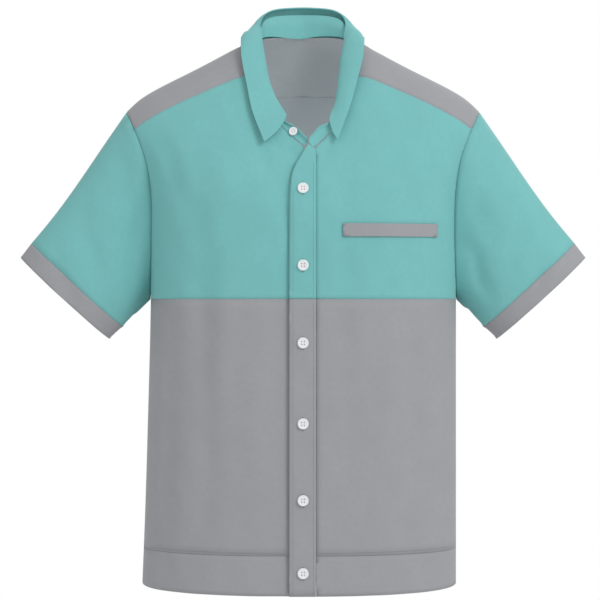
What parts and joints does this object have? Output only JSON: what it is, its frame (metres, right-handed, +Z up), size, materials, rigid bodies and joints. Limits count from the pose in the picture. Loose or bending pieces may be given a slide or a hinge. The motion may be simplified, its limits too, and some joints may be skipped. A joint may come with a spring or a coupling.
{
  "type": "short-sleeved button-front shirt",
  "caption": "Short-sleeved collared shirt in two colours, filled out as if worn, with a buttoned front placket, a yoke, cuffed sleeves and a welt pocket.",
  "frame": {"origin": "middle of the neck, level with the place where the collar meets the shoulder line", "axes": "+X towards the wearer's left, +Y towards the wearer's back, +Z up"},
  "size_m": [0.7336, 0.2283, 0.7595],
  "materials": {
    "teal_cloth": "fine plain-weave poly-cotton, dyed teal, matt with a faint sheen",
    "grey_cloth": "fine plain-weave poly-cotton, dyed mid grey, matt",
    "white_button": "white polyester button, polished, four holes"
  },
  "bodies": {
    "root": {"yoke": "grey_cloth", "front_right_upper": "teal_cloth", "front_left_upper": "teal_cloth", "front_right_lower": "grey_cloth", "front_left_lower": "grey_cloth", "hem_band_front_right": "grey_cloth", "hem_band_front_left": "grey_cloth", "sleeve_right": "teal_cloth", "sleeve_left": "teal_cloth", "cuff_right": "grey_cloth", "cuff_left": "grey_cloth", "back": "grey_cloth", "hem_band_back": "grey_cloth", "placket_upper": "teal_cloth", "placket_lower": "grey_cloth", "welt_pocket": "grey_cloth", "collar_stand": "teal_cloth", "collar_leaf": "teal_cloth", "button_1": "white_button", "button_2": "white_button", "button_3": "white_button", "button_4": "white_button", "button_5": "white_button", "button_6": "white_button", "collar_button": "white_button"}
  },
  "joints": []
}
